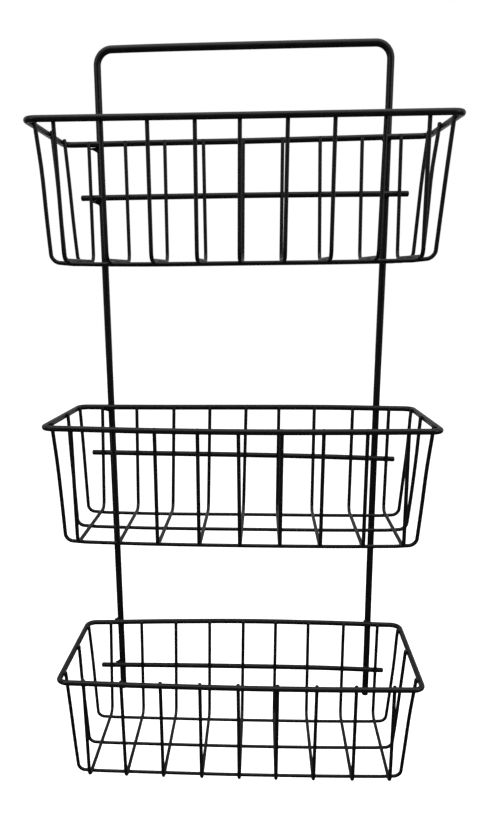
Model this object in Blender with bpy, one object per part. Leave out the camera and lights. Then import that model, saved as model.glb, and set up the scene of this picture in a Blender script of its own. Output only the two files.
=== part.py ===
"""A wall rack of welded, black-coated steel rod with three open wire baskets.

X runs along the wall to the right, Y runs towards the wall and Z is up. The origin is the middle of
the frame's top bar, by which the rack hangs. All lengths are in metres.
"""

import math

import bpy
from mathutils import Vector

# Frame: one rod bent into an upside-down U, whose two legs stand against the wall
frame_rod_diameter = 0.006
leg_spacing = 0.265
frame_corner_radius = 0.0135
leg_tail = 0.034

# Tiers: how far the first rim hangs below the top bar, and each next rim below the last
top_rim_drop = 0.0813
upper_tier_pitch = 0.2447
lower_tier_pitch = 0.2351

# Rims: a closed rounded rectangle of medium rod, measured over its outside
medium_rod_diameter = 0.0048
rim_width = 0.3405
rim_depth = 0.140
rim_corner_radius = 0.009

# Cross bars: straight medium rods on the fronts of the legs, behind each basket
cross_bar_drop = 0.048
cross_bar_overhang = 0.020

# Baskets: thin wires, bent up at both ends and welded to the inside of the rim. The long wires lie under
# the cross wires, and each inset tells how far a wire stands in from the rim's nearest rod
wire_diameter = 0.0028
basket_height = 0.1075
cross_wire_end_rise = 0.0004
long_wire_end_rise = 0.0015
cross_wire_count = 9
outer_cross_wire_inset = 0.0248
cross_wire_bend_radius = 0.0078
front_wall_lean = 0.0058
long_wire_bend_radius = 0.0066
side_wall_lean = 0.0082
back_riser_inset = 0.016
back_floor_inset = 0.0123
middle_wire_inset = 0.0627
front_riser_inset = 0.0167
front_floor_inset = 0.0234

# Welds: touching pieces keep this gap
weld_gap = 0.0003

# Ends of the thick and medium rods: the length and the width share of their small chamfer
rod_end_chamfer = 0.0006
rod_end_width_share = 0.75

# Fineness of the round shapes
frame_corner_steps = 6
rim_corner_steps = 5
wire_bend_steps = 4
frame_bevel_resolution = 4
medium_bevel_resolution = 3
wire_bevel_resolution = 2

# Sizes that follow from the ones above
frame_rod_radius = frame_rod_diameter / 2
medium_rod_radius = medium_rod_diameter / 2
wire_radius = wire_diameter / 2
leg_x = leg_spacing / 2
rim_back_y = -(frame_rod_radius + medium_rod_radius + weld_gap)
rim_half_width = (rim_width - medium_rod_diameter) / 2
rim_front_y = rim_back_y - (rim_depth - medium_rod_diameter)
wire_offset = medium_rod_radius + wire_radius + weld_gap
wire_stack = wire_diameter + weld_gap
outer_cross_wire_x = rim_half_width - outer_cross_wire_inset
cross_wire_pitch = 2 * outer_cross_wire_x / (cross_wire_count - 1)
tier_rim_z = {
    "top": -top_rim_drop,
    "middle": -top_rim_drop - upper_tier_pitch,
    "bottom": -top_rim_drop - upper_tier_pitch - lower_tier_pitch,
}
leg_end_z = tier_rim_z["bottom"] - cross_bar_drop - leg_tail

# Corners of a cross wire, seen from the side, with z measured from the rim
back_wall_y = rim_back_y - wire_offset
front_wall_top_y = rim_front_y + wire_offset
front_wall_foot_y = front_wall_top_y + front_wall_lean
cross_floor_z = wire_stack - basket_height
back_foot = Vector((0, back_wall_y, cross_floor_z))
front_foot = Vector((0, front_wall_foot_y, cross_floor_z))
side_wall_top_x = rim_half_width - wire_offset
side_wall_foot_x = side_wall_top_x - side_wall_lean


def clear_scene():
    for thing in list(bpy.data.objects):
        bpy.data.objects.remove(thing, do_unlink=True)


def coat_material(name, grey, roughness):
    """Black powder coat over steel."""
    material = bpy.data.materials.new(name)
    material.use_nodes = True
    surface = material.node_tree.nodes["Principled BSDF"]
    surface.inputs["Base Color"].default_value = (grey, grey, grey, 1)
    surface.inputs["Roughness"].default_value = roughness
    surface.inputs["Metallic"].default_value = 0
    return material


def bend_at(before, corner, after, radius):
    """The centre of the arc that rounds one corner, and the way from it to the arc's start and end."""
    to_before = (before - corner).normalized()
    to_after = (after - corner).normalized()
    half_angle = to_before.angle(to_after) / 2
    reach = radius / math.tan(half_angle)
    inward = (to_before + to_after).normalized()
    centre = corner + inward * radius / math.sin(half_angle)
    start = corner + to_before * reach - centre
    end = corner + to_after * reach - centre
    return centre, start, end


def way_round(start, end, share):
    """The way from an arc's centre to the point that lies this share of the turn from its start."""
    turn = start.angle(end)
    near = math.sin((1 - share) * turn)
    far = math.sin(share * turn)
    return (start * near + end * far) / math.sin(turn)


def arc_at(before, corner, after, radius, steps):
    """Points of the arc that rounds one corner of a bent rod."""
    centre, start, end = bend_at(before, corner, after, radius)
    return [centre + way_round(start, end, step / steps) for step in range(steps + 1)]


def bent_path(corners, radius, steps, closed=False):
    """The centreline of a rod that runs straight between corners and swings round each of them."""
    count = len(corners)
    turning = range(count) if closed else range(1, count - 1)
    points = [] if closed else [corners[0]]
    for i in turning:
        points += arc_at(corners[i - 1], corners[i], corners[(i + 1) % count], radius, steps)
    if not closed:
        points.append(corners[-1])
    return points


def beyond(start, end, length):
    """The point that lies a length past the end of a straight run."""
    return end + (end - start).normalized() * length


def rod_curve(name, points, diameter, resolution, material, closed=False, chamfered=False, tilt=0.0):
    """A round rod along the points. Chamfered ends narrow over a short length."""
    curve = bpy.data.curves.new(name, "CURVE")
    curve.dimensions = "3D"
    curve.bevel_depth = diameter / 2
    curve.bevel_resolution = resolution
    curve.use_fill_caps = True
    widths = [1.0] * len(points)
    if chamfered:
        first = beyond(points[1], points[0], -rod_end_chamfer)
        last = beyond(points[-2], points[-1], -rod_end_chamfer)
        points = [points[0], first, *points[1:-1], last, points[-1]]
        widths = [rod_end_width_share, *[1.0] * (len(points) - 2), rod_end_width_share]
    spline = curve.splines.new("POLY")
    spline.points.add(len(points) - 1)
    for place, position, width in zip(spline.points, points, widths):
        place.co = (*position, 1)
        place.radius = width
        place.tilt = tilt
    spline.use_cyclic_u = closed
    spline.use_smooth = True
    curve.materials.append(material)
    return curve


def add_empty(name, collection, location):
    empty = bpy.data.objects.new(name, None)
    empty.location = location
    empty.empty_display_size = frame_rod_diameter
    collection.objects.link(empty)
    return empty


def add_node(name, curve, collection, parent, location=(0, 0, 0)):
    node = bpy.data.objects.new(name, curve)
    node.location = location
    node.parent = parent
    collection.objects.link(node)
    return node


def frame_curve(material):
    """The upside-down U, with a flat side of its rod turned to the wall."""
    corners = [
        Vector((-leg_x, 0, leg_end_z)),
        Vector((-leg_x, 0, 0)),
        Vector((leg_x, 0, 0)),
        Vector((leg_x, 0, leg_end_z)),
    ]
    points = bent_path(corners, frame_corner_radius, frame_corner_steps)
    half_facet = math.pi / (4 + 2 * frame_bevel_resolution)
    return rod_curve(
        "frame_rod", points, frame_rod_diameter, frame_bevel_resolution, material,
        chamfered=True, tilt=half_facet,
    )


def rim_curve(material):
    corners = [
        Vector((-rim_half_width, rim_front_y, 0)),
        Vector((rim_half_width, rim_front_y, 0)),
        Vector((rim_half_width, rim_back_y, 0)),
        Vector((-rim_half_width, rim_back_y, 0)),
    ]
    points = bent_path(corners, rim_corner_radius, rim_corner_steps, closed=True)
    return rod_curve(
        "rim", points, medium_rod_diameter, medium_bevel_resolution, material, closed=True,
    )


def cross_bar_curve(material):
    half_length = leg_x + cross_bar_overhang
    points = [Vector((-half_length, 0, 0)), Vector((half_length, 0, 0))]
    return rod_curve(
        "cross_bar", points, medium_rod_diameter, medium_bevel_resolution, material, chamfered=True,
    )


def cross_wire_curve(material):
    """From above the back rim, down the back, forward along the floor and up to the front rim."""
    end_length = medium_rod_radius + cross_wire_end_rise
    back_top = Vector((0, back_wall_y, 0))
    front_top = Vector((0, front_wall_top_y, 0))
    corners = [
        beyond(back_foot, back_top, end_length),
        back_foot,
        front_foot,
        beyond(front_foot, front_top, end_length),
    ]
    points = bent_path(corners, cross_wire_bend_radius, wire_bend_steps)
    return rod_curve("cross_wire", points, wire_diameter, wire_bevel_resolution, material)


def long_wire_curve(name, riser_y, floor_y, material):
    """From above the left side of the rim, down, along under the floor and up to the right side."""
    end_length = medium_rod_radius + long_wire_end_rise
    corners = []
    for side in (-1, 1):
        foot = Vector((side * side_wall_foot_x, floor_y, -basket_height))
        top = beyond(foot, Vector((side * side_wall_top_x, riser_y, 0)), end_length)
        corners += [top, foot] if side < 0 else [foot, top]
    points = bent_path(corners, long_wire_bend_radius, wire_bend_steps)
    return rod_curve(name, points, wire_diameter, wire_bevel_resolution, material)


def long_wire_curves(material):
    middle_y = rim_back_y - middle_wire_inset
    places = {
        "back": (rim_back_y - back_riser_inset, rim_back_y - back_floor_inset),
        "middle": (middle_y, middle_y),
        "front": (rim_front_y + front_riser_inset, rim_front_y + front_floor_inset),
    }
    return {
        place: long_wire_curve(f"long_wire_{place}", riser_y, floor_y, material)
        for place, (riser_y, floor_y) in places.items()
    }


def build():
    clear_scene()
    collection = bpy.data.collections.new("tiered_wall_basket")
    bpy.context.scene.collection.children.link(collection)

    rod_coat = coat_material("rod_coat", 0.016, 0.42)
    rim_coat = coat_material("rim_coat", 0.018, 0.40)
    bar_coat = coat_material("bar_coat", 0.016, 0.42)
    wire_coat = coat_material("wire_coat", 0.014, 0.45)

    rack = add_empty("rack_origin", collection, (0, 0, 0))
    add_node("frame_rod", frame_curve(rod_coat), collection, rack)

    rim = rim_curve(rim_coat)
    cross_bar = cross_bar_curve(bar_coat)
    cross_wire = cross_wire_curve(wire_coat)
    long_wires = long_wire_curves(wire_coat)
    for tier, rim_z in tier_rim_z.items():
        basket = add_empty(f"{tier}_basket_place", collection, (0, 0, rim_z))
        basket.parent = rack
        add_node(f"{tier}_basket_rim", rim, collection, basket)
        bar_place = (0, rim_back_y, -cross_bar_drop)
        add_node(f"{tier}_basket_cross_bar", cross_bar, collection, basket, bar_place)
        for place, curve in long_wires.items():
            add_node(f"{tier}_basket_long_wire_{place}", curve, collection, basket)
        for number in range(1, cross_wire_count + 1):
            wire_x = (number - (cross_wire_count + 1) / 2) * cross_wire_pitch
            add_node(
                f"{tier}_basket_cross_wire_{number}", cross_wire, collection, basket, (wire_x, 0, 0),
            )


build()
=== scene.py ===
"""Looks of the welded wire wall rack: round coated rods, their bends, cut ends and weld beads.

X runs along the wall to the right, Y runs towards the wall and Z is up, in metres, as in the solids.
Sizes with the same name as in the part's source have the same value.
"""

import math
import random
from collections import namedtuple

import bmesh
import bpy
from mathutils import Matrix, Vector


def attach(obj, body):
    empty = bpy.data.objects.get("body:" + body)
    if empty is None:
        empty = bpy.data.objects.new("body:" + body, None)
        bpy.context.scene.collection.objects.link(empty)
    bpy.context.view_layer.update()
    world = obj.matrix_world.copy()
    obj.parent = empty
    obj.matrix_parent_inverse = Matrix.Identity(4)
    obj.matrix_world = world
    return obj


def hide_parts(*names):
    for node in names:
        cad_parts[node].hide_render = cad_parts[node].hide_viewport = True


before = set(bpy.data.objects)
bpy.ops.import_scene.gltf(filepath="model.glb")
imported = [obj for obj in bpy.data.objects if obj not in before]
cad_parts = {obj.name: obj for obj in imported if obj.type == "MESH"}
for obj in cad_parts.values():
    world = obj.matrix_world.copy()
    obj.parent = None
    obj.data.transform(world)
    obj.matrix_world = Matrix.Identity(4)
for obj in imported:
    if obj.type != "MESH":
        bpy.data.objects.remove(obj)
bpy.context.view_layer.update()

# Sizes of the rack, as in the part's source
frame_rod_radius = 0.003
leg_x = 0.1325
frame_corner_radius = 0.0135
leg_tail = 0.034
top_rim_drop = 0.0813
upper_tier_pitch = 0.2447
lower_tier_pitch = 0.2351
medium_rod_radius = 0.0024
rim_width = 0.3405
rim_depth = 0.140
rim_corner_radius = 0.009
cross_bar_drop = 0.048
cross_bar_overhang = 0.020
wire_radius = 0.0014
basket_height = 0.1075
cross_wire_count = 9
outer_cross_wire_inset = 0.0248
cross_wire_bend_radius = 0.0078
front_wall_lean = 0.0058
long_wire_bend_radius = 0.0066
side_wall_lean = 0.0082
back_riser_inset = 0.016
back_floor_inset = 0.0123
middle_wire_inset = 0.0627
front_riser_inset = 0.0167
front_floor_inset = 0.0234
weld_gap = 0.0003

# Radius of each rod with its coat, which fills the gap that the solids keep at the welds. The frame and
# the rims are set in by a hair, so that the coat stays inside the box of the solids
coated_frame_radius = 0.0033
coated_medium_radius = 0.0026
coated_wire_radius = 0.0017
frame_set_in = 0.00043
rim_set_in = 0.00023

# The cross wires are cut off just below the top of the rims and pressed a little into the long wires.
# The long wires end just above the rims, and the left leg is a little short
cross_wire_end_drop = 0.0003
floor_press = 0.0003
long_wire_end_stand = 0.0005
left_leg_trim = 0.0018

# Fineness of the skins: the sides round each kind of rod, the steps of a bend, and the length of a step
# along a straight run
frame_sides = 28
medium_sides = 24
wire_sides = 16
bend_steps = 12
frame_step = 0.02
rim_step = 0.012
bar_step = 0.015
cross_wire_step = 0.011
long_wire_step = 0.012

# Cut ends: how high each kind of rod is domed, as a share of its radius, in how many steps, and how wide
# the rod still is at the dome's tip
frame_dome = 0.35
bar_dome = 0.5
wire_dome = 0.6
dome_steps = 4
least_end_width = 0.02

# Beads of weld where two rods of a basket cross: how far they reach, how uneven they are, how far up a
# rod's side they climb and how far out their waist lies, as shares, and how deep their edges sink in
rim_bead_reach = 0.0021
floor_bead_reach = 0.0019
bead_unevenness = 0.12
bead_climb = 0.82
bead_waist = 0.55
bead_sink = 0.00016
bead_steps = 18
bead_levels = 5

# Smallest slant of a bead's edge to a rod that is divided by
least_slant = 1e-3

# Runs of weld above and below a back rim or a cross bar where it crosses a leg, each a row of balls: how
# far in front of the leg's axis they lie, half their length, their height as a share of the crossing rod's
# radius, how far they droop and how much they thin at their ends, and how uneven they are
run_front = 0.0031
run_half_length = 0.0027
run_height_share = 0.78
run_droop = 0.0004
run_end_thinning = 0.25
run_jitter = 0.00016
run_ball_radius = 0.00115
run_balls = 7

# Webs of weld to the left of a leg, each a triangle of balls in the corner between the leg and a crossing
# rod: where the corner is, seen from the leg's axis, how hollow the web's long side is, how far it slants
# from the leg to the rod in front of it, how much its balls thin outwards, and how uneven they are
web_front = 0.0026
web_start_left = 0.0028
web_start_up = 0.0022
web_hollow = 0.38
web_slant = 0.0022
web_thinning = 0.45
web_jitter = 0.00014
web_ball_radius = 0.00135
web_rows = 6

# The webs of each tier: which leg, which rod, above the rod (1) or below it (-1), width and height
webs = {
    "top": (
        (-1, "back_rim", -1, 0.0070, 0.0030),
        (-1, "bar", -1, 0.0072, 0.0030),
        (1, "back_rim", -1, 0.0020, 0.0016),
    ),
    "middle": (
        (-1, "back_rim", -1, 0.0066, 0.0018),
    ),
    "bottom": (
        (-1, "bar", 1, 0.0044, 0.0024),
        (-1, "back_rim", 1, 0.0030, 0.0018),
        (1, "back_rim", 1, 0.0016, 0.0014),
    ),
}

# Lumps made of balls: how finely they are wrapped, and how much and how often the wrap is eased
ball_fineness = 2
lump_cell = 0.00036
lump_easing = 0.5
lump_easing_rounds = 6

# Powder coat: its gloss, its slow changes of tone and gloss, its waves and its pebbles. Scales of noise
# are in cells to a metre, and each tint is a share of the coat's tone
coat_ior = 1.5
coat_specular = 0.19
pattern_shift = (1, 0.7, -1)
tone_scale = 55
tone_detail = 3
dark_tint = (0.75, 0.75, 0.78)
light_tint = (1.3, 1.3, 1.28)
tint_range = (0.3, 0.72)
gloss_range = (0.3, 0.7)
gloss_spread = (-0.05, 0.06)
wave_scale = 190
wave_detail = 1
wave_strength = 0.18
wave_depth = 0.0004
pebble_scale = 1100
pebble_detail = 2
pebble_roughness = 0.45
pebble_strength = 0.28
pebble_depth = 0.00012

# Studio: colours and strengths of what the rack is lit by and mirrors
white = (1, 1, 1)
ambient_colour = (0.86, 0.87, 0.88)
dim_colour = (0.9, 0.95, 1)
ambient_strength = 0.28
white_strength = 1.0
grey_strength = 0.4
dim_strength = 0.06

# Directions of mirrored rays at which the studio changes: straight behind the rack from white to grey,
# above the horizon from dim to white, and by how far a ray goes wallward and up from dim to white
behind_range = (0.4, 0.8)
horizon_range = (-0.16, 0.02)
wallward_and_up = (0, 1, 0.6)
wallward_range = (-0.25, 0.45)

# Studio floor: its height and size, its paint, and the distances between which it turns from dim to pale
floor_z = -0.9
floor_reach = 6.0
floor_colour = (0.82, 0.82, 0.81)
floor_roughness = 0.9
floor_specular = 0.1
floor_glow = 0.97
floor_pale_range = (1.0, 5.0)

# Camera: where the photograph was taken from, and the lens and the crop that its perspective gives, with
# angles in radians and the crop in pixels
camera_place = (0.0166, -0.8126, -0.1937)
pitch_down = 0.26497
yaw = -0.06126
roll = 0.00646
photo_width = 491
photo_height = 820
focal_pixels = 818.22
centre_x = 209.67
centre_y = 490.80
sensor_size = 36
nearest_seen = 0.01
farthest_seen = 50

# Places that follow from the sizes above
rim_back_y = -(frame_rod_radius + medium_rod_radius + weld_gap)
rim_half_width = rim_width / 2 - medium_rod_radius
rim_front_y = rim_back_y - (rim_depth - 2 * medium_rod_radius)
wire_offset = medium_rod_radius + wire_radius + weld_gap
wire_stack = 2 * wire_radius + weld_gap
outer_cross_wire_x = rim_half_width - outer_cross_wire_inset
cross_wire_pitch = 2 * outer_cross_wire_x / (cross_wire_count - 1)
bar_half_length = leg_x + cross_bar_overhang
level_rod_drops = {"back_rim": 0.0, "bar": cross_bar_drop}
tier_rim_z = {
    "top": -top_rim_drop,
    "middle": -top_rim_drop - upper_tier_pitch,
    "bottom": -top_rim_drop - upper_tier_pitch - lower_tier_pitch,
}
leg_end_z = tier_rim_z["bottom"] - cross_bar_drop - leg_tail
back_wall_y = rim_back_y - wire_offset
front_wall_top_y = rim_front_y + wire_offset
front_wall_foot_y = front_wall_top_y + front_wall_lean
side_wall_top_x = rim_half_width - wire_offset
side_wall_foot_x = side_wall_top_x - side_wall_lean

# Corners of a cross wire, seen from the side, with z measured from the rim
cross_floor_z = wire_stack - basket_height - floor_press
back_top = Vector((0, back_wall_y, 0))
back_foot = Vector((0, back_wall_y, cross_floor_z))
front_foot = Vector((0, front_wall_foot_y, cross_floor_z))
front_top = Vector((0, front_wall_top_y, 0))

# Each long wire's y at its risers' tops and along the floor
middle_y = rim_back_y - middle_wire_inset
long_wire_ys = {
    "back": (rim_back_y - back_riser_inset, rim_back_y - back_floor_inset),
    "middle": (middle_y, middle_y),
    "front": (rim_front_y + front_riser_inset, rim_front_y + front_floor_inset),
}

rightward = Vector((1, 0, 0))
wallward = Vector((0, 1, 0))
upward = Vector((0, 0, 1))

# How the photographed rack is bent, in rounded millimetres read off the photograph. A lift is how far a
# rod stands above its true place, at even steps from its left end to its right end
millimetre = 0.001
lifts = {
    "frame": {"top_bar": (-1.8, -0.8, -0.5, -0.4, -0.6)},
    "top": {
        "back_rim": (-0.9, -0.2, 0.2, 1.1, 2.1),
        "front_rim": (-0.3, -0.5, -0.4),
        "back_floor": (-0.3, -1.0, -0.6, -0.2, 0.7),
        "front_floor": (-0.3, -0.9, -0.6, -0.1, 0.9),
        "bar": (0.3, 0.9, 1.3, 1.3, 1.0),
    },
    "middle": {
        "back_rim": (-0.9, -0.9, -0.6, -0.5, -1.6),
        "front_rim": (3.0, 1.4, 0.6, 1.0, 1.9),
        "back_floor": (0.1, -1.1, -0.8, -0.8, -0.4),
        "front_floor": (2.6, 1.0, 0.4, 0.8, 2.4),
        "bar": (0.6, -0.2, -1.0, -2.4, -4.6),
    },
    "bottom": {
        "back_rim": (-0.4, 2.3, 4.3, 4.2, 3.1),
        "front_rim": (0.2, -0.9, -1.3, -0.6, 1.1),
        "back_floor": (0.5, 0.4, 0.7, 1.7, 3.6),
        "front_floor": (0.5, 0.4, 0.5, 1.8, 4.0),
        "bar": (-2.6, -1.4, -0.6, -0.4, -1.8),
    },
}

# How far each leg stands to the right of its true place, at even steps from the top bar to its lower end
left_leg_lean = (-0.7, -0.5, 0.4, 1.4, 2.4)
right_leg_lean = (-1.7, -0.4, -0.1, 0.9, 2.5)

# How far each cross wire stands to the right of its true place, at the back rim, the front foot and the
# front rim. Its back foot keeps a share of the back rim's sway, and goes with the front foot for the rest
back_foot_share = 0.3
sways = {
    "top": (
        (1.0, -1.0, -0.3, -0.6, 0.0, 0.0, -2.0, 0.0, -1.0),
        (1.0, 0.0, 0.4, 1.6, 0.0, 0.5, 1.5, 3.0, 2.0),
        (-1.2, 0.0, 0.3, 1.3, 0.0, 0.8, 1.0, 3.2, 0.0),
    ),
    "middle": (
        (3.8, 2.5, 4.0, 4.0, 4.1, 0.5, -0.5, 1.2, 0.6),
        (0.1, 0.3, -0.2, 0.8, 0.9, 0.4, -0.2, 1.2, 0.2),
        (0.2, 0.6, 0.0, 0.7, -0.6, 0.4, -0.5, 0.0, -2.0),
    ),
    "bottom": (
        (3.4, 0.8, 2.0, 2.3, 2.3, 0.7, -0.8, 0.6, 0.2),
        (0.0, -0.2, -0.1, 1.0, 1.2, 0.4, 0.2, 1.1, 0.2),
        (-0.2, -0.9, -0.2, 0.6, 0.0, 0.4, 0.3, 0.2, -1.4),
    ),
}

# How far in the side walls stand, each at the back rim, the front rim and the foot
left_insets = {"top": (2.0, 1.7, 0.3), "middle": (4.8, 1.4, -0.7), "bottom": (3.0, 1.3, 0.6)}
right_insets = {"top": (0.0, 0.0, -0.7), "middle": (1.2, 0.1, -0.1), "bottom": (1.7, 1.0, 0.9)}

# How far each long wire's risers stand to the right of that, the left riser and then the right one, a
# third of the way down, two thirds of the way down and at the foot
riser_shifts = {
    "top": {
        "front": ((0.9, 0.0, -0.6), (0.0, 0.3, 0.8)),
        "middle": ((0.4, -0.1, -0.5), (-1.5, -0.6, 0.0)),
        "back": ((0.1, -0.2, 0.0), (-0.5, 0.1, 0.7)),
    },
    "middle": {
        "front": ((0.6, 0.2, -0.5), (-0.4, 0.4, 0.9)),
        "middle": ((-0.4, -0.2, -0.3), (0.8, 0.9, 0.4)),
        "back": ((0.2, 0.1, 0.0), (1.2, 1.3, 1.4)),
    },
    "bottom": {
        "front": ((-0.3, -0.9, -1.2), (-0.6, 0.0, 0.5)),
        "middle": ((-0.8, -0.6, -0.6), (0.1, 0.2, -0.2)),
        "back": ((0.1, -0.4, -0.9), (1.0, 1.1, 0.9)),
    },
}

# How far the long wires' feet are drawn up past the outer cross wires, and how soon that fades upwards
foot_rises = {"top": 2.0, "middle": 1.4, "bottom": 1.0}
foot_rise_power = 4

chance = random.Random(7)


def clamped(share):
    return min(1.0, max(0.0, share))


def mix(first, second, share):
    return (1 - share) * first + share * second


def along_curve(values, share):
    """The value at this share of the way along a smooth curve through evenly spaced values."""
    last = len(values) - 1
    spot = clamped(share) * last
    i = min(int(spot), last - 1)
    t = spot - i
    here, there = values[i], values[i + 1]
    slope_here = (there - values[max(i - 1, 0)]) / 2
    slope_there = (values[min(i + 2, last)] - here) / 2
    return (
        (2 * t ** 3 - 3 * t ** 2 + 1) * here + (t ** 3 - 2 * t ** 2 + t) * slope_here
        + (3 * t ** 2 - 2 * t ** 3) * there + (t ** 3 - t ** 2) * slope_there
    )


def lift(tier, rod, x):
    """How far a bent rod stands above its true place, at this distance from the rack's middle."""
    return millimetre * along_curve(lifts[tier][rod], (x / rim_half_width + 1) / 2)


def level_rod_z(tier, rod, x):
    """Height of a tier's back rim or cross bar, at this distance from the rack's middle."""
    return tier_rim_z[tier] - level_rod_drops[rod] + lift(tier, rod, x)


def lean(point):
    """A point of the frame, moved as the photographed frame is bent."""
    down = point.z / leg_end_z
    to_right = (point.x / leg_x + 1) / 2
    sideways = mix(along_curve(left_leg_lean, down), along_curve(right_leg_lean, down), to_right)
    return point + Vector((millimetre * sideways, 0, (1 - down) * lift("frame", "top_bar", point.x)))


def basket_point(tier, point, number=None):
    """A point of a basket, put in its tier and moved as the photographed basket is bent.

    The point's z is measured from the rim. A cross wire is named by its number.
    """
    x, y, z = point
    forward = clamped((rim_back_y - y) / (rim_back_y - rim_front_y))
    down = clamped(-z / basket_height)
    rim_lift = mix(lift(tier, "back_rim", x), lift(tier, "front_rim", x), forward)
    floor_lift = mix(lift(tier, "back_floor", x), lift(tier, "front_floor", x), forward)
    rise = mix(rim_lift, floor_lift, down)
    if number is None:
        to_right = (x / rim_half_width + 1) / 2
        for share, insets in ((1 - to_right, left_insets[tier]), (-to_right, right_insets[tier])):
            at_back, at_front, at_foot = (value * millimetre for value in insets)
            x += share * mix(mix(at_back, at_front, forward), at_foot, down)
    else:
        at_back, at_foot, at_front = (values[number - 1] * millimetre for values in sways[tier])
        at_back_foot = back_foot_share * at_back + (1 - back_foot_share) * at_foot
        x += mix(mix(at_back, at_back_foot, down), mix(at_front, at_foot, down), forward)
    return Vector((x, y, z + tier_rim_z[tier] + rise))


def riser_bend(tier, place, point):
    """How far a point of a long wire is moved by the bends of its risers and feet."""
    down = clamped(-point.z / basket_height)
    to_right = (point.x / rim_half_width + 1) / 2
    left, right = (along_curve((0.0, *shifts), down) for shifts in riser_shifts[tier][place])
    past = (abs(point.x) - outer_cross_wire_x) / (side_wall_foot_x - outer_cross_wire_x)
    rise = foot_rises[tier] * clamped(past) * down ** foot_rise_power
    return millimetre * Vector((mix(left, right, to_right), 0, rise))


def bend_at(before, corner, after, radius):
    """The centre of the arc that rounds one corner, and the way from it to the arc's start and end."""
    to_before = (before - corner).normalized()
    to_after = (after - corner).normalized()
    half_angle = to_before.angle(to_after) / 2
    reach = radius / math.tan(half_angle)
    inward = (to_before + to_after).normalized()
    centre = corner + inward * radius / math.sin(half_angle)
    return centre, corner + to_before * reach - centre, corner + to_after * reach - centre


def way_round(start, end, share):
    """The way from an arc's centre to the point that lies this share of the turn from its start."""
    turn = start.angle(end)
    near = math.sin((1 - share) * turn)
    far = math.sin(share * turn)
    return (start * near + end * far) / math.sin(turn)


def arc_at(before, corner, after, radius):
    """Points of the arc that rounds one corner of a bent rod."""
    centre, start, end = bend_at(before, corner, after, radius)
    return [centre + way_round(start, end, step / bend_steps) for step in range(bend_steps + 1)]


def bent_path(corners, radius, closed=False):
    """The centreline of a rod that runs straight between corners and swings round each of them."""
    count = len(corners)
    turning = range(count) if closed else range(1, count - 1)
    points = [] if closed else [corners[0]]
    for i in turning:
        points += arc_at(corners[i - 1], corners[i], corners[(i + 1) % count], radius)
    if not closed:
        points.append(corners[-1])
    return points


def beyond(start, end, length):
    """The point that lies a length past the end of a straight run."""
    return end + (end - start).normalized() * length


def filled(points, spacing, closed=False):
    """The same path with points added along its straight runs."""
    count = len(points)
    made = []
    for i in range(count if closed else count - 1):
        start, end = points[i], points[(i + 1) % count]
        parts = max(1, round((end - start).length / spacing))
        made += [start.lerp(end, part / parts) for part in range(parts)]
    if not closed:
        made.append(points[-1])
    return made


def dome_at(before, end, reach):
    """Centres and widths of a rod's last bit, from its full width to the middle of its cut end."""
    base = beyond(before, end, -reach)
    way = (end - base).normalized()
    turns = [math.pi / 2 * step / dome_steps for step in range(dome_steps + 1)]
    return [(base + way * reach * math.sin(turn), math.cos(turn)) for turn in turns]


def with_ends(points, reach):
    """A path and the rod's width along it, as shares of its full width, with a dome at each cut end."""
    head = dome_at(points[1], points[0], reach)
    tail = dome_at(points[-2], points[-1], reach)
    return head[::-1] + [(point, 1.0) for point in points[1:-1]] + tail


def tube(mesh, rings, sides, closed):
    """Adds a round skin to the mesh, given the centre and the radius of each ring."""
    count = len(rings)
    centres = [centre for centre, radius in rings]
    ways = []
    for i in range(count):
        before = centres[i - 1] if closed or i else centres[0]
        after = centres[(i + 1) % count] if closed or i < count - 1 else centres[-1]
        ways.append((after - before).normalized())
    side = ways[0].orthogonal().normalized()
    turns = [math.tau * k / sides for k in range(sides)]
    loops = []
    for way, (centre, radius) in zip(ways, rings):
        side = (side - way * side.dot(way)).normalized()
        up = way.cross(side)
        loops.append([
            mesh.verts.new(centre + (side * math.cos(turn) + up * math.sin(turn)) * radius)
            for turn in turns
        ])
    for i in range(count if closed else count - 1):
        here, there = loops[i], loops[(i + 1) % count]
        shift = 0
        if closed and i == count - 1:
            gaps = [(corner.co - here[0].co).length for corner in there]
            shift = gaps.index(min(gaps))
        for k in range(sides):
            mesh.faces.new((
                here[k], here[(k + 1) % sides],
                there[(k + 1 + shift) % sides], there[(k + shift) % sides],
            ))
    if not closed:
        mesh.faces.new(loops[0][::-1])
        mesh.faces.new(loops[-1])


def link(thing):
    bpy.context.scene.collection.objects.link(thing)


def piece_from(mesh, name, material, nodes=()):
    """Makes a finished, smooth piece of the rack from a mesh, and stands it for the named nodes."""
    bmesh.ops.recalc_face_normals(mesh, faces=mesh.faces)
    data = bpy.data.meshes.new(name)
    mesh.to_mesh(data)
    mesh.free()
    data.polygons.foreach_set("use_smooth", [True] * len(data.polygons))
    data.materials.append(material)
    piece = bpy.data.objects.new(name, data)
    link(piece)
    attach(piece, "root")
    if nodes:
        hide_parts(*nodes)


def new_node(tree, kind, **values):
    """A new shader node with these input values. An underscore in a name stands for a space."""
    node = tree.nodes.new(kind)
    for name, value in values.items():
        node.inputs[name.replace("_", " ")].default_value = value
    return node


def noise(tree, place, **values):
    made = new_node(tree, "ShaderNodeTexNoise", **values)
    tree.links.new(place, made.inputs["Vector"])
    return made.outputs["Fac"]


def bump(tree, height, **values):
    made = new_node(tree, "ShaderNodeBump", **values)
    tree.links.new(height, made.inputs["Height"])
    return made


def tinted(tone, tint):
    return (*(tone * share for share in tint), 1)


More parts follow.
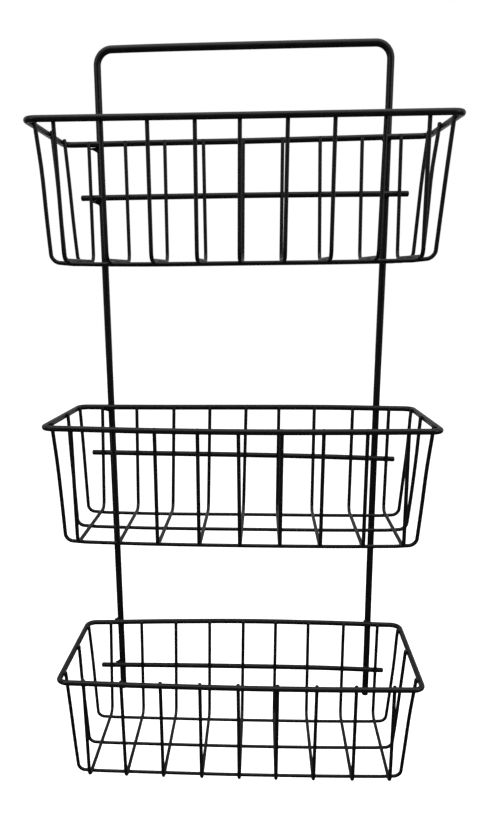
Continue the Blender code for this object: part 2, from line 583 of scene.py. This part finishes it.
def coat(name, tone, roughness, seed):
    """Satin black powder coat: a fine pebbled skin with slow changes of tone and gloss."""
    material = bpy.data.materials.new(name)
    material.use_nodes = True
    tree = material.node_tree
    surface = tree.nodes["Principled BSDF"]
    surface.inputs["IOR"].default_value = coat_ior
    surface.inputs["Specular IOR Level"].default_value = coat_specular
    surface.inputs["Metallic"].default_value = 0.0
    place = tree.nodes.new("ShaderNodeTexCoord")
    shifted = new_node(tree, "ShaderNodeMapping", Location=[seed * share for share in pattern_shift])
    tree.links.new(place.outputs["Object"], shifted.inputs["Vector"])
    spot = shifted.outputs["Vector"]

    slow = noise(tree, spot, Scale=tone_scale, Detail=tone_detail)
    tones = tree.nodes.new("ShaderNodeValToRGB")
    for stop, position, tint in zip(tones.color_ramp.elements, tint_range, (dark_tint, light_tint)):
        stop.position = position
        stop.color = tinted(tone, tint)
    tree.links.new(slow, tones.inputs["Fac"])
    tree.links.new(tones.outputs["Color"], surface.inputs["Base Color"])
    gloss = new_node(
        tree, "ShaderNodeMapRange", From_Min=gloss_range[0], From_Max=gloss_range[1],
        To_Min=roughness + gloss_spread[0], To_Max=roughness + gloss_spread[1],
    )
    tree.links.new(slow, gloss.inputs["Value"])
    tree.links.new(gloss.outputs["Result"], surface.inputs["Roughness"])

    pebbles = noise(tree, spot, Scale=pebble_scale, Detail=pebble_detail, Roughness=pebble_roughness)
    waves = noise(tree, spot, Scale=wave_scale, Detail=wave_detail)
    fine = bump(tree, pebbles, Strength=pebble_strength, Distance=pebble_depth)
    wavy = bump(tree, waves, Strength=wave_strength, Distance=wave_depth)
    tree.links.new(fine.outputs["Normal"], wavy.inputs["Normal"])
    tree.links.new(wavy.outputs["Normal"], surface.inputs["Normal"])
    return material


# How each kind of rod is dressed. A rim is a closed loop, so it has no dome
Skin = namedtuple("Skin", "radius sides dome material slot")
frame_skin = Skin(
    coated_frame_radius, frame_sides, frame_dome,
    coat("satin_black_rod_coat", tone=0.0038, roughness=0.33, seed=0.0), "rod_coat",
)
rim_skin = Skin(
    coated_medium_radius, medium_sides, 0,
    coat("satin_black_rim_coat", tone=0.0042, roughness=0.32, seed=0.37), "rim_coat",
)
bar_skin = Skin(
    coated_medium_radius, medium_sides, bar_dome,
    coat("satin_black_bar_coat", tone=0.0038, roughness=0.34, seed=0.71), "bar_coat",
)
wire_skin = Skin(
    coated_wire_radius, wire_sides, wire_dome,
    coat("satin_black_wire_coat", tone=0.0036, roughness=0.36, seed=1.13), "wire_coat",
)


def add_rod(node, points, skin, closed=False):
    """A rod's coated skin, which stands for its solid. An open rod has domed, cut ends."""
    rings = [(point, 1.0) for point in points] if closed else with_ends(points, skin.radius * skin.dome)
    rings = [(point, skin.radius * max(width, least_end_width)) for point, width in rings]
    mesh = bmesh.new()
    tube(mesh, rings, skin.sides, closed)
    piece_from(mesh, f"{node}_rod", skin.material, (node,))


def add_frame():
    """The upside-down U, set in a little at the top and towards the front."""
    corners = [
        Vector((-leg_x, 0, leg_end_z + left_leg_trim)),
        Vector((-leg_x, 0, 0)),
        Vector((leg_x, 0, 0)),
        Vector((leg_x, 0, leg_end_z)),
    ]
    path = filled(bent_path(corners, frame_corner_radius), frame_step)
    set_in = Vector((0, -frame_set_in, -frame_set_in))
    add_rod("frame_rod", [lean(point) + set_in for point in path], frame_skin)


def rim_path():
    half_width = rim_half_width - rim_set_in
    front_y = rim_front_y + rim_set_in
    corners = [
        Vector((-half_width, front_y, 0)),
        Vector((half_width, front_y, 0)),
        Vector((half_width, rim_back_y, 0)),
        Vector((-half_width, rim_back_y, 0)),
    ]
    return filled(bent_path(corners, rim_corner_radius, closed=True), rim_step, closed=True)


def cross_wire_path():
    """From the back rim down, forward along the floor and up to the front rim."""
    end_length = medium_rod_radius - cross_wire_end_drop
    corners = [
        beyond(back_foot, back_top, end_length),
        back_foot,
        front_foot,
        beyond(front_foot, front_top, end_length),
    ]
    return filled(bent_path(corners, cross_wire_bend_radius), cross_wire_step)


def riser_ends(side, riser_y, floor_y):
    """A long wire's corner at the floor on one side, and its riser's place at the rim's height."""
    foot = Vector((side * side_wall_foot_x, floor_y, -basket_height))
    top = Vector((side * side_wall_top_x, riser_y, 0))
    return foot, top


def long_wire_path(riser_y, floor_y):
    """From above the left side of the rim, down, along under the floor and up to the right side."""
    end_length = medium_rod_radius + long_wire_end_stand
    left_foot, left_top = riser_ends(-1, riser_y, floor_y)
    right_foot, right_top = riser_ends(1, riser_y, floor_y)
    corners = [
        beyond(left_foot, left_top, end_length),
        left_foot,
        right_foot,
        beyond(right_foot, right_top, end_length),
    ]
    return filled(bent_path(corners, long_wire_bend_radius), long_wire_step)


def cross_wire_x(number):
    return (number - (cross_wire_count + 1) / 2) * cross_wire_pitch


def add_basket_rods(tier):
    """The rim, the cross bar and the wires of one tier."""
    rim = [basket_point(tier, point) for point in rim_path()]
    add_rod(f"{tier}_basket_rim", rim, rim_skin, closed=True)

    bar_ends = [Vector((side * bar_half_length, rim_back_y, 0)) for side in (-1, 1)]
    bar = [
        point + Vector((0, 0, level_rod_z(tier, "bar", point.x)))
        for point in filled(bar_ends, bar_step)
    ]
    add_rod(f"{tier}_basket_cross_bar", bar, bar_skin)

    for number in range(1, cross_wire_count + 1):
        place = Vector((cross_wire_x(number), 0, 0))
        wire = [basket_point(tier, point + place, number) for point in cross_wire_path()]
        add_rod(f"{tier}_basket_cross_wire_{number}", wire, wire_skin)

    for place, ys in long_wire_ys.items():
        wire = [
            basket_point(tier, point) + riser_bend(tier, place, point)
            for point in long_wire_path(*ys)
        ]
        add_rod(f"{tier}_basket_long_wire_{place}", wire, wire_skin)


def add_bead(mesh, place, outward, way_a, radius_a, way_b, radius_b, reach):
    """A small weld collar round the spot where two rods touch.

    It is drawn from the skin of rod a to that of rod b, which lies outward of rod a.
    """
    side_a = outward.cross(way_a).normalized()
    side_b = outward.cross(way_b).normalized()
    along = side_a.cross(outward).normalized()
    evenness = (1 - bead_unevenness, 1 + bead_unevenness)
    squeeze = chance.uniform(*evenness)
    wobble = [chance.uniform(*evenness) for _ in range(bead_steps)]
    loops = [[] for _ in range(bead_levels + 1)]
    for k in range(bead_steps):
        turn = math.tau * k / bead_steps
        heading = along * math.cos(turn) + side_a * math.sin(turn)
        size = reach * squeeze * (wobble[k] + wobble[k - 1] + wobble[(k + 1) % bead_steps]) / 3
        off_a = abs(heading.dot(side_a))
        off_b = abs(heading.dot(side_b))
        span_a = min(size, bead_climb * radius_a / max(off_a, least_slant))
        span_b = min(size, bead_climb * radius_b / max(off_b, least_slant))
        low = math.sqrt(max(0.0, radius_a ** 2 - (span_a * off_a) ** 2)) - radius_a
        high = radius_b - math.sqrt(max(0.0, radius_b ** 2 - (span_b * off_b) ** 2))
        start = place + heading * span_a + outward * (low - bead_sink)
        end = place + heading * span_b + outward * (high + bead_sink)
        waist = place + heading * (bead_waist * size) + outward * (low + high) / 2
        for level, loop in enumerate(loops):
            t = level / bead_levels
            point = start * (1 - t) ** 2 + waist * 2 * t * (1 - t) + end * t ** 2
            loop.append(mesh.verts.new(point))
    for lower, upper in zip(loops, loops[1:]):
        for k in range(bead_steps):
            following = (k + 1) % bead_steps
            mesh.faces.new((lower[k], lower[following], upper[following], upper[k]))


def add_wire_welds(tier):
    """A bead of weld wherever a wire of this tier crosses a rim, a cross bar or another wire."""
    beads = bmesh.new()
    half_gap = weld_gap / 2
    back_y = rim_back_y - medium_rod_radius - half_gap
    front_y = rim_front_y + medium_rod_radius + half_gap
    side_x = rim_half_width - medium_rod_radius - half_gap
    floor_level = cross_floor_z - wire_radius + floor_press / 2
    front_way = (front_top - front_foot).normalized()
    on_level_rod = (rightward, medium_rod_radius)
    on_side_rod = (wallward, medium_rod_radius)
    on_long_wire = (rightward, wire_radius)
    for number in range(1, cross_wire_count + 1):
        x = cross_wire_x(number)
        at_back = basket_point(tier, Vector((x, back_y, 0)), number)
        add_bead(beads, at_back, -wallward, *on_level_rod, upward, wire_radius, rim_bead_reach)
        at_front = basket_point(tier, Vector((x, front_y, 0)), number)
        add_bead(beads, at_front, wallward, *on_level_rod, front_way, wire_radius, rim_bead_reach)
        at_bar = basket_point(tier, Vector((x, back_y, -cross_bar_drop)), number)
        at_bar.z = level_rod_z(tier, "bar", at_bar.x)
        add_bead(beads, at_bar, -wallward, *on_level_rod, upward, wire_radius, rim_bead_reach)
        for _, floor_y in long_wire_ys.values():
            on_floor = basket_point(tier, Vector((x, floor_y, floor_level)), number)
            add_bead(beads, on_floor, upward, *on_long_wire, wallward, wire_radius, floor_bead_reach)
    for side in (-1, 1):
        for riser_y, floor_y in long_wire_ys.values():
            foot, top = riser_ends(side, riser_y, floor_y)
            riser_way = (top - foot).normalized()
            at_side = basket_point(tier, Vector((side * side_x, riser_y, 0)))
            add_bead(
                beads, at_side, -rightward * side, *on_side_rod, riser_way, wire_radius, rim_bead_reach,
            )
    piece_from(beads, f"{tier}_basket_wire_welds", wire_skin.material)


def skin_of(balls):
    """One smooth lump wrapped round many overlapping balls."""
    mesh = bmesh.new()
    for centre, radius in balls:
        bmesh.ops.create_icosphere(
            mesh, subdivisions=ball_fineness, radius=radius, matrix=Matrix.Translation(centre),
        )
    data = bpy.data.meshes.new("lump")
    mesh.to_mesh(data)
    mesh.free()
    shape = bpy.data.objects.new("lump", data)
    link(shape)
    wrap = shape.modifiers.new("wrap", "REMESH")
    wrap.mode = "VOXEL"
    wrap.voxel_size = lump_cell
    ease = shape.modifiers.new("ease", "SMOOTH")
    ease.factor = lump_easing
    ease.iterations = lump_easing_rounds
    made = bpy.data.meshes.new_from_object(shape.evaluated_get(bpy.context.evaluated_depsgraph_get()))
    bpy.data.objects.remove(shape)
    bpy.data.meshes.remove(data)
    lump = bmesh.new()
    lump.from_mesh(made)
    bpy.data.meshes.remove(made)
    return lump


def run_of_weld(place):
    """Balls above and below the spot where a level rod crosses a leg."""
    balls = []
    for side in (-1, 1):
        for i in range(run_balls):
            along = 2 * i / (run_balls - 1) - 1
            height = side * (medium_rod_radius * run_height_share - run_droop * along ** 2)
            jitter = Vector((0, chance.uniform(-1, 1), chance.uniform(-1, 1))) * run_jitter
            spot = place + Vector((along * run_half_length, 0, height)) + jitter
            balls.append((spot, run_ball_radius * (1 - run_end_thinning * along ** 2)))
    return balls


def drawn_in(share):
    """How much of its reach a web keeps one way, at this share of its reach the other way."""
    return 1 - web_hollow + web_hollow * (1 - share) ** 2


def web_of_weld(corner, up, width, height):
    """Balls that fill the corner between a leg and a level rod, most of them near the corner."""
    balls = []
    for i in range(web_rows + 1):
        for j in range(web_rows + 1 - i):
            out, rise = i / web_rows, j / web_rows
            shake = Vector((chance.uniform(-1, 1), chance.uniform(-1, 1), chance.uniform(-1, 1)))
            place = corner - rightward * width * out * drawn_in(rise)
            place += upward * up * height * rise * drawn_in(out)
            place += wallward * (web_slant * (rise - out) * ((1 - out) * (1 - rise)))
            radius = web_ball_radius * (1.0 - web_thinning * max(out, rise))
            balls.append((place + shake * web_jitter, radius))
    return balls


def add_frame_welds(tier):
    """The welds between one tier's level rods and the legs."""
    balls = []
    for side in (-1, 1):
        for rod in level_rod_drops:
            z = level_rod_z(tier, rod, side * leg_x)
            balls += run_of_weld(lean(Vector((side * leg_x, -run_front, z))))
    for side, rod, up, width, height in webs[tier]:
        z = level_rod_z(tier, rod, side * leg_x)
        corner = lean(Vector((side * leg_x, -web_front, z)))
        corner += Vector((-web_start_left, 0, up * web_start_up))
        balls += web_of_weld(corner, up, width, height)
    piece_from(skin_of(balls), f"{tier}_frame_welds", frame_skin.material)


def add_soft_lamp(name, place, aim, width, height, watts):
    light = bpy.data.lights.new(name, "AREA")
    light.shape = "RECTANGLE"
    light.size = width
    light.size_y = height
    light.energy = watts
    lamp = bpy.data.objects.new(name, light)
    lamp.location = place
    lamp.rotation_euler = (Vector(aim) - Vector(place)).to_track_quat("-Z", "Y").to_euler()
    link(lamp)


def shader_mix(tree, share, first, second):
    made = tree.nodes.new("ShaderNodeMixShader")
    tree.links.new(share, made.inputs["Fac"])
    tree.links.new(first, made.inputs[1])
    tree.links.new(second, made.inputs[2])
    return made.outputs["Shader"]


def glow_of(tree, kind, colour, strength):
    return new_node(tree, kind, Color=(*colour, 1), Strength=strength).outputs[0]


def mirrored(tree, rays):
    """One for a ray that was mirrored or let through, which sees the background as well."""
    total = tree.nodes.new("ShaderNodeMath")
    total.operation = "MAXIMUM"
    tree.links.new(rays.outputs["Is Glossy Ray"], total.inputs[0])
    tree.links.new(rays.outputs["Is Transmission Ray"], total.inputs[1])
    return total.outputs["Value"]


def step_between(tree, value, low, high):
    """Nought below the low value, one above the high one."""
    step = new_node(tree, "ShaderNodeMapRange", From_Min=low, From_Max=high)
    tree.links.new(value, step.inputs["Value"])
    return step.outputs["Result"]


def parts_of(tree, vector):
    parts = tree.nodes.new("ShaderNodeSeparateXYZ")
    tree.links.new(vector, parts.inputs["Vector"])
    return parts.outputs


def add_world():
    """Lights the rack evenly from all sides.

    The camera sees the world white. Mirrored rays meet white above and beside the rack, grey straight
    behind it, and the dim half of the studio where they come back past the camera or sink.
    """
    world = bpy.data.worlds.new("studio")
    bpy.context.scene.world = world
    world.use_nodes = True
    tree = world.node_tree
    ambient = glow_of(tree, "ShaderNodeBackground", ambient_colour, ambient_strength)
    bright = glow_of(tree, "ShaderNodeBackground", white, white_strength)
    grey = glow_of(tree, "ShaderNodeBackground", white, grey_strength)
    dim = glow_of(tree, "ShaderNodeBackground", dim_colour, dim_strength)
    heading = tree.nodes.new("ShaderNodeTexCoord").outputs["Generated"]
    parts = parts_of(tree, heading)
    towards = tree.nodes.new("ShaderNodeVectorMath")
    towards.operation = "DOT_PRODUCT"
    towards.inputs[1].default_value = wallward_and_up
    tree.links.new(heading, towards.inputs[0])
    rays = tree.nodes.new("ShaderNodeLightPath")
    behind = shader_mix(tree, step_between(tree, parts["Y"], *behind_range), bright, grey)
    risen = shader_mix(tree, step_between(tree, parts["Z"], *horizon_range), dim, behind)
    past_rack = step_between(tree, towards.outputs["Value"], *wallward_range)
    backdrop = shader_mix(tree, past_rack, dim, risen)
    seen_in_gloss = shader_mix(tree, mirrored(tree, rays), ambient, backdrop)
    seen = shader_mix(tree, rays.outputs["Is Camera Ray"], seen_in_gloss, bright)
    tree.links.new(seen, tree.nodes["World Output"].inputs["Surface"])


def floor_paint():
    """White to the camera. Mirrored rays see it dim under the rack and pale far behind it."""
    paint = bpy.data.materials.new("pale_floor")
    paint.use_nodes = True
    tree = paint.node_tree
    matt = tree.nodes["Principled BSDF"]
    matt.inputs["Base Color"].default_value = (*floor_colour, 1)
    matt.inputs["Roughness"].default_value = floor_roughness
    matt.inputs["Specular IOR Level"].default_value = floor_specular
    both = tree.nodes.new("ShaderNodeAddShader")
    tree.links.new(matt.outputs["BSDF"], both.inputs[0])
    tree.links.new(glow_of(tree, "ShaderNodeEmission", white, floor_glow), both.inputs[1])
    dim = glow_of(tree, "ShaderNodeEmission", dim_colour, dim_strength)
    parts = parts_of(tree, tree.nodes.new("ShaderNodeTexCoord").outputs["Object"])
    rays = tree.nodes.new("ShaderNodeLightPath")
    far_off = step_between(tree, parts["Y"], *floor_pale_range)
    pale = shader_mix(tree, far_off, dim, both.outputs["Shader"])
    seen_in_gloss = shader_mix(tree, mirrored(tree, rays), matt.outputs["BSDF"], pale)
    seen = shader_mix(tree, rays.outputs["Is Camera Ray"], seen_in_gloss, both.outputs["Shader"])
    tree.links.new(seen, tree.nodes["Material Output"].inputs["Surface"])
    return paint


def add_floor():
    data = bpy.data.meshes.new("studio_floor")
    corners = [
        (-floor_reach, -floor_reach, floor_z),
        (floor_reach, -floor_reach, floor_z),
        (floor_reach, floor_reach, floor_z),
        (-floor_reach, floor_reach, floor_z),
    ]
    data.from_pydata(corners, [], [(0, 1, 2, 3)])
    data.materials.append(floor_paint())
    floor = bpy.data.objects.new("studio_floor", data)
    link(floor)


def add_camera():
    """Looks from where the photograph was taken. Yaw turns it to the right, and roll turns it clockwise."""
    forward = Vector((
        math.sin(yaw) * math.cos(pitch_down),
        math.cos(yaw) * math.cos(pitch_down),
        -math.sin(pitch_down),
    ))
    level_right = Vector((math.cos(yaw), -math.sin(yaw), 0))
    level_down = forward.cross(level_right)
    right = level_right * math.cos(roll) + level_down * math.sin(roll)
    down = level_down * math.cos(roll) - level_right * math.sin(roll)
    lens = bpy.data.cameras.new("camera")
    lens.sensor_fit = "AUTO"
    lens.sensor_width = sensor_size
    lens.lens = focal_pixels / photo_height * sensor_size
    lens.shift_x = (photo_width / 2 - centre_x) / photo_height
    lens.shift_y = (centre_y - photo_height / 2) / photo_height
    lens.clip_start = nearest_seen
    lens.clip_end = farthest_seen
    camera = bpy.data.objects.new("camera", lens)
    turned = Matrix((right, -down, -forward)).transposed().to_4x4()
    camera.matrix_world = Matrix.Translation(camera_place) @ turned
    link(camera)
    bpy.context.scene.camera = camera


add_frame()
for tier in tier_rim_z:
    add_basket_rods(tier)
    add_wire_welds(tier)
    add_frame_welds(tier)

middle_of_rack = (0, -0.07, -0.33)
add_soft_lamp(
    "ceiling_softbox", place=(0.1, -0.9, 1.45), aim=(0.1, -0.45, -0.3), width=2.4, height=2.2, watts=38,
)
add_soft_lamp(
    "left_softbox", place=(-1.5, -1.6, 0.6), aim=middle_of_rack, width=0.9, height=1.4, watts=13,
)
add_soft_lamp(
    "right_softbox", place=(1.8, -1.1, 0.6), aim=middle_of_rack, width=0.9, height=1.4, watts=15,
)
add_world()
add_floor()
add_camera()
bpy.context.scene.view_settings.view_transform = "Standard"
